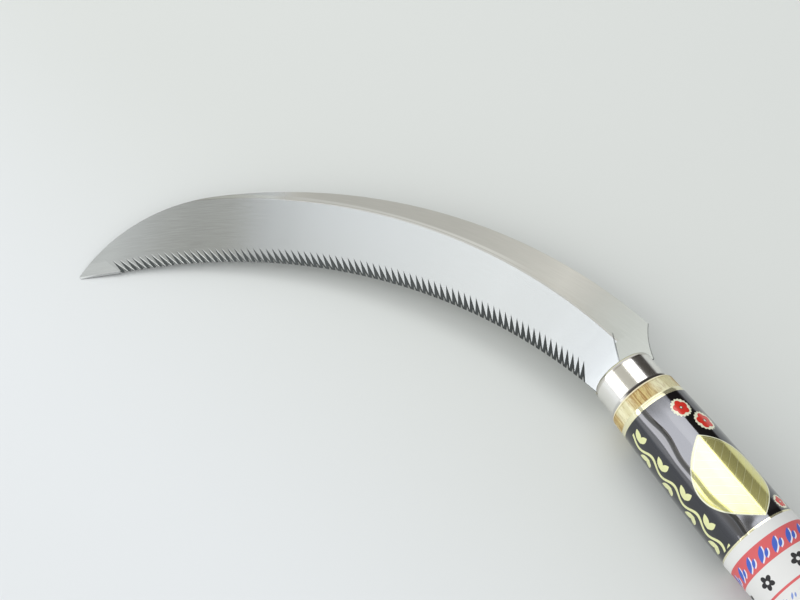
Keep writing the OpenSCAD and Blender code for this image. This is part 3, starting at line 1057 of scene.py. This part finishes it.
@dataclass
class Wrapping:
    """A thin closed sheet round the handle, with its own small folds and a lap seam."""

    name: str
    node: str
    material_slot: str
    sizes: HandleSizes = field(default_factory=HandleSizes)
    steps_round: int = 240

    def build(self, stations: list[float], outer: Callable[[float, float], float],
              inner: Callable[[float], float]) -> bpy.types.Object:
        """Make the sheet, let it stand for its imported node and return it.

        Args:
            stations: Places along the handle, from the front to the rear.
            outer: Radius of the outer face at a place and a direction in degrees.
            inner: Radius of the inner face at a place.

        Returns:
            The sheet.
        """
        turns = [FULL_TURN * i / self.steps_round for i in range(self.steps_round)]
        rings = [[self.point(x, outer(x, a), a) for a in turns] for x in stations]
        rings += [[self.point(x, inner(x), a) for a in turns] for x in reversed(stations)]
        verts = [p for ring in rings for p in ring]
        count = self.steps_round
        faces: list[tuple[int, ...]] = []
        for r in range(len(rings)):
            here, there = r * count, (r + 1) % len(rings) * count
            for i in range(count):
                j = (i + 1) % count
                faces.append((here + i, there + i, there + j, here + j))
        mesh = bpy.data.meshes.new(self.name)
        mesh.from_pydata(verts, [], faces)
        mesh.validate()
        mesh.polygons.foreach_set("use_smooth", [True] * len(mesh.polygons))
        mesh.set_sharp_from_angle(angle=math.radians(40.0))
        sheet = bpy.data.objects.new(self.name, mesh)
        bpy.context.scene.collection.objects.link(sheet)
        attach(sheet, "root")
        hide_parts(self.node)
        return sheet

    def point(self, x: float, radius: float, turn: float) -> tuple[float, float, float]:
        """Return a point in metres at a place, a radius and a direction round the handle."""
        a = math.radians(turn)
        return x * MM, radius * math.cos(a) * MM, radius * math.sin(a) * MM

    def stations(self, front: float, rear: float, step: float, lip: float = 0.12) -> list[float]:
        """Return even places from the front to the rear, with a close pair at each end for the lips."""
        count = max(2, round((front - rear - 2.0 * lip) / step))
        inside = [front - lip - (front - rear - 2.0 * lip) * i / count for i in range(count + 1)]
        return [front, *inside, rear]


@dataclass
class FilmSleeve(Wrapping):
    """The shrunk film: a soft fold along the top, shallow waves and a seam underneath."""

    name: str = "film_sleeve_wrap"
    node: str = "film_sleeve"
    material_slot: str = "sleeve_film"
    fold: Fold = field(default_factory=Fold)
    fold_half: float = 2.1
    sunk: float = 0.11
    seam_turn: float = -104.0
    seam_drop: float = 0.04
    lip: float = 0.05

    def near_fold(self, x: float, turn: float) -> float:
        """Return how near a direction lies to the winding fold, from 0 to 1."""
        away = (turn - self.fold.turn(x) + HALF_TURN) % FULL_TURN - HALF_TURN
        arc = math.radians(away) * self.sizes.belly_r
        return math.exp(-((arc / self.fold_half) ** 2))

    def outer(self, x: float, turn: float) -> float:
        """Return the radius of the outer face."""
        full = self.sizes.wood_r(x) + self.sizes.wrap_gap + self.sizes.sleeve_t
        ripple = 0.5 + 0.5 * math.sin(math.radians(3.0 * turn) + x / 6.0) * math.cos(x / 3.7)
        depth = self.sunk * (0.8 + 0.2 * ripple) * (1.0 - self.near_fold(x, turn))
        past_seam = (turn - self.seam_turn) % FULL_TURN
        if past_seam > FULL_TURN - 24.0:
            depth += self.seam_drop
        under_label = min(1.0, max(0.0, (x - self.sizes.label_front) / 2.0))
        depth *= 0.25 + 0.75 * under_label
        if x in (self.sizes.sleeve_front, self.sizes.sleeve_end):
            depth += self.lip
        return full - min(depth, self.sizes.sleeve_t - 0.01)

    def make(self) -> bpy.types.Object:
        """Make the film, print it and return it."""
        s = self.sizes
        places = self.stations(s.sleeve_front, s.sleeve_end, 0.9)
        sheet = self.build(places, self.outer, lambda x: s.wood_r(x) + s.wrap_gap * 0.6)
        return give(sheet, PrintedFilm(s, self.fold).build())


@dataclass
class PaperLabel(Wrapping):
    """The paper: wrapped round wood and film, its end lapped over its start underneath."""

    name: str = "paper_label_wrap"
    node: str = "paper_label"
    material_slot: str = "label_paper"
    lap_turns: Point = (-118.0, -68.0)
    lap_rise: float = 0.05

    def base(self, x: float) -> float:
        """Return the height above the wood of what the paper lies on."""
        s = self.sizes
        on_film = s.wrap_gap + s.sleeve_t + s.wrap_gap
        share = min(1.0, max(0.0, (x - s.sleeve_end + 1.2) / 1.2))
        return s.wrap_gap + (on_film - s.wrap_gap) * share

    def outer(self, x: float, turn: float) -> float:
        """Return the radius of the outer face."""
        signed = (turn + HALF_TURN) % FULL_TURN - HALF_TURN
        lapped = self.lap_turns[0] < signed < self.lap_turns[1]
        thick = self.sizes.label_t - (0.0 if lapped else self.lap_rise)
        return self.sizes.wood_r(x) + self.base(x) + thick

    def make(self) -> bpy.types.Object:
        """Make the label, print it and return it."""
        s = self.sizes
        places = self.stations(s.label_front, s.label_end, 1.3, 0.05)
        sheet = self.build(places, self.outer, lambda x: s.wood_r(x) + self.base(x))
        return give(sheet, LabelPaper(s).build())


def give(piece: bpy.types.Object, material: bpy.types.Material) -> bpy.types.Object:
    """Put one material on a whole piece.

    Args:
        piece: The piece.
        material: Its material.

    Returns:
        The piece.
    """
    piece.data.materials.clear()
    piece.data.materials.append(material)
    return piece


@dataclass(frozen=True)
class Softbox:
    """One softbox: where it stands from the part, its size, its light and its colour."""

    name: str
    turn: float
    along: float
    size: Point
    radiance: float
    colour: Colour
    reach: float = 1.3

    @property
    def power(self) -> float:
        """Return the power in watts that gives the wanted radiance."""
        return self.radiance * math.pi * self.size[0] * self.size[1]


@dataclass
class Studio:
    """Floor, softboxes, pale surroundings and the camera of the picture."""

    focal_px: float = 1413.26
    sensor_mm: float = 36.0
    elevation: float = 56.058
    azimuth: float = -121.2186
    roll: float = 0.9826
    aim: tuple[float, float, float] = (210.17, 47.87, 0.0)
    distance: float = 502.716
    middle: tuple[float, float, float] = (0.18, 0.02, 0.0)
    boxes: tuple[Softbox, ...] = (
        Softbox("left_box", 29.0, 0.95, (1.30, 0.90), 2.5, (1.0, 0.995, 0.98)),
        Softbox("top_box_near", 109.5, 0.34, (0.28, 0.86), 3.2, (0.98, 0.99, 1.0)),
        Softbox("top_box_middle", 109.5, 0.59, (0.22, 0.86), 0.75, (0.98, 0.99, 1.0)),
        Softbox("top_box_far", 109.5, 0.825, (0.25, 0.86), 0.70, (0.97, 0.985, 1.0)),
    )

    def camera(self) -> bpy.types.Object:
        """Make the camera and return it."""
        el, az, roll = (math.radians(a) for a in (self.elevation, self.azimuth, self.roll))
        ahead = Vector((-math.sin(az) * math.cos(el), math.cos(az) * math.cos(el), -math.sin(el)))
        right = Vector((math.cos(az), math.sin(az), 0.0))
        down = ahead.cross(right)
        right_r = math.cos(roll) * right + math.sin(roll) * down
        down_r = -math.sin(roll) * right + math.cos(roll) * down
        data = bpy.data.cameras.new("camera")
        data.sensor_width = self.sensor_mm
        data.lens = self.focal_px / PHOTO_WIDTH_PX * self.sensor_mm
        data.clip_start = 0.01
        data.clip_end = 50.0
        camera = bpy.data.objects.new("camera", data)
        turn = Matrix((right_r, -down_r, -ahead)).transposed().to_4x4()
        stand = (Vector(self.aim) - self.distance * ahead) * MM
        camera.matrix_world = Matrix.Translation(stand) @ turn
        bpy.context.scene.collection.objects.link(camera)
        bpy.context.scene.camera = camera
        return camera

    def softbox(self, box: Softbox) -> bpy.types.Object:
        """Make one softbox that faces the part and return it."""
        data = bpy.data.lights.new(box.name, "AREA")
        data.shape = "RECTANGLE"
        data.size, data.size_y = box.size
        data.energy = box.power
        data.color = box.colour
        light = bpy.data.objects.new(box.name, data)
        turn = math.radians(box.turn)
        away = Vector((0.0, math.cos(turn), math.sin(turn)))
        along = Vector((1.0, 0.0, 0.0))
        up = away.cross(along).normalized()
        facing = Matrix((along, up, away)).transposed().to_4x4()
        stand = Vector(self.middle) + box.along * along + box.reach * away
        light.matrix_world = Matrix.Translation(stand) @ facing
        bpy.context.scene.collection.objects.link(light)
        return light

    def floor(self, height: float) -> bpy.types.Object:
        """Make the floor and return it.

        Args:
            height: Its height in metres.

        Returns:
            The floor.
        """
        mesh = bpy.data.meshes.new("floor")
        half = 12.0
        corners = [(-half, -half, height), (half, -half, height), (half, half, height), (-half, half, height)]
        mesh.from_pydata(corners, [], [(0, 1, 2, 3)])
        floor = bpy.data.objects.new("floor", mesh)
        bpy.context.scene.collection.objects.link(floor)
        give(floor, FloorPaint().build())
        return floor

    def surroundings(self) -> None:
        """Give the world a pale side behind the handle, a pale front and a dim warm middle with a dark side."""
        world = bpy.data.worlds.new("surroundings")
        world.use_nodes = True
        tree = world.node_tree
        parts = tree.nodes.new("ShaderNodeSeparateXYZ")
        tree.links.new(tree.nodes.new("ShaderNodeTexCoord").outputs["Generated"], parts.inputs[0])
        turn = tree.nodes.new("ShaderNodeMath")
        turn.operation = "ARCTAN2"
        tree.links.new(parts.outputs[2], turn.inputs[0])
        tree.links.new(parts.outputs[1], turn.inputs[1])
        round_handle = tree.nodes.new("ShaderNodeMath")
        round_handle.operation = "DIVIDE"
        round_handle.inputs[1].default_value = math.pi
        tree.links.new(turn.outputs[0], round_handle.inputs[0])
        ahead = tree.nodes.new("ShaderNodeMath")
        ahead.operation = "MULTIPLY_ADD"
        ahead.inputs[1].default_value = 0.5
        ahead.inputs[2].default_value = 0.5
        tree.links.new(parts.outputs[0], ahead.inputs[0])
        black, white = (0.0,) * 3, (1.0,) * 3
        middle = self.world_ramp(tree, round_handle, (
            (0.04, (0.84, 0.86, 0.87)), (0.14, (0.56, 0.55, 0.50)), (0.56, (0.50, 0.485, 0.42)),
            (0.70, (0.07, 0.062, 0.055)), (0.965, (0.045, 0.041, 0.038)), (0.985, (0.4, 0.4, 0.4))))
        rear = self.world_ramp(tree, round_handle, (
            (0.0, (1.50, 1.50, 1.48)), (0.30, (1.42, 1.43, 1.43)), (0.45, (1.04, 1.05, 1.06)),
            (0.62, (0.82, 0.825, 0.82)), (0.80, (0.77, 0.775, 0.76))))
        dim, bright = (0.225, 0.225, 0.20), (0.87, 0.885, 0.89)
        front = self.world_ramp(tree, ahead, ((0.745, dim), (0.768, dim), (0.779, bright)))
        to_rear = self.world_ramp(tree, ahead, ((0.54, white), (0.62, black)))
        to_front = self.world_ramp(tree, ahead, ((0.745, black), (0.755, white)))
        colour = self.world_mix(tree, to_rear, middle, rear)
        colour = self.world_mix(tree, to_front, colour, front)
        tree.links.new(colour, tree.nodes["Background"].inputs["Color"])
        bpy.context.scene.world = world

    def world_ramp(self, tree: bpy.types.NodeTree, source: bpy.types.Node,
                   stops: tuple[tuple[float, Colour], ...]) -> Socket:
        """Return a colour that runs through the given stops over a node's value."""
        ramp = tree.nodes.new("ShaderNodeValToRGB")
        fill_ramp(ramp.color_ramp, stops)
        tree.links.new(source.outputs[0], ramp.inputs[0])
        return ramp.outputs["Color"]

    def world_mix(self, tree: bpy.types.NodeTree, share: Socket, below: Socket, above: Socket) -> Socket:
        """Return one colour laid over another by a share."""
        mix = tree.nodes.new("ShaderNodeMix")
        mix.data_type = "RGBA"
        for target, source in zip((mix.inputs[0], mix.inputs[6], mix.inputs[7]), (share, below, above)):
            tree.links.new(source, target)
        return mix.outputs[2]

    def build(self, floor_height: float) -> None:
        """Make everything round the part.

        Args:
            floor_height: Height of the floor in metres.
        """
        self.camera()
        self.floor(floor_height)
        self.surroundings()
        for box in self.boxes:
            self.softbox(box)
        view = bpy.context.scene.view_settings
        view.view_transform = "Standard"
        view.look = "None"


def main() -> None:
    """Build the scene in order and report each piece."""
    logging.basicConfig(level=logging.INFO)
    Studio().build(CAD_BOX[0][2])
    pieces = [Blade().dress(), *Grip().dress(), FilmSleeve().make(), PaperLabel().make()]
    for piece in pieces:
        LOG.info("dressed %s", piece.name)


if __name__ == "__main__":
    main()
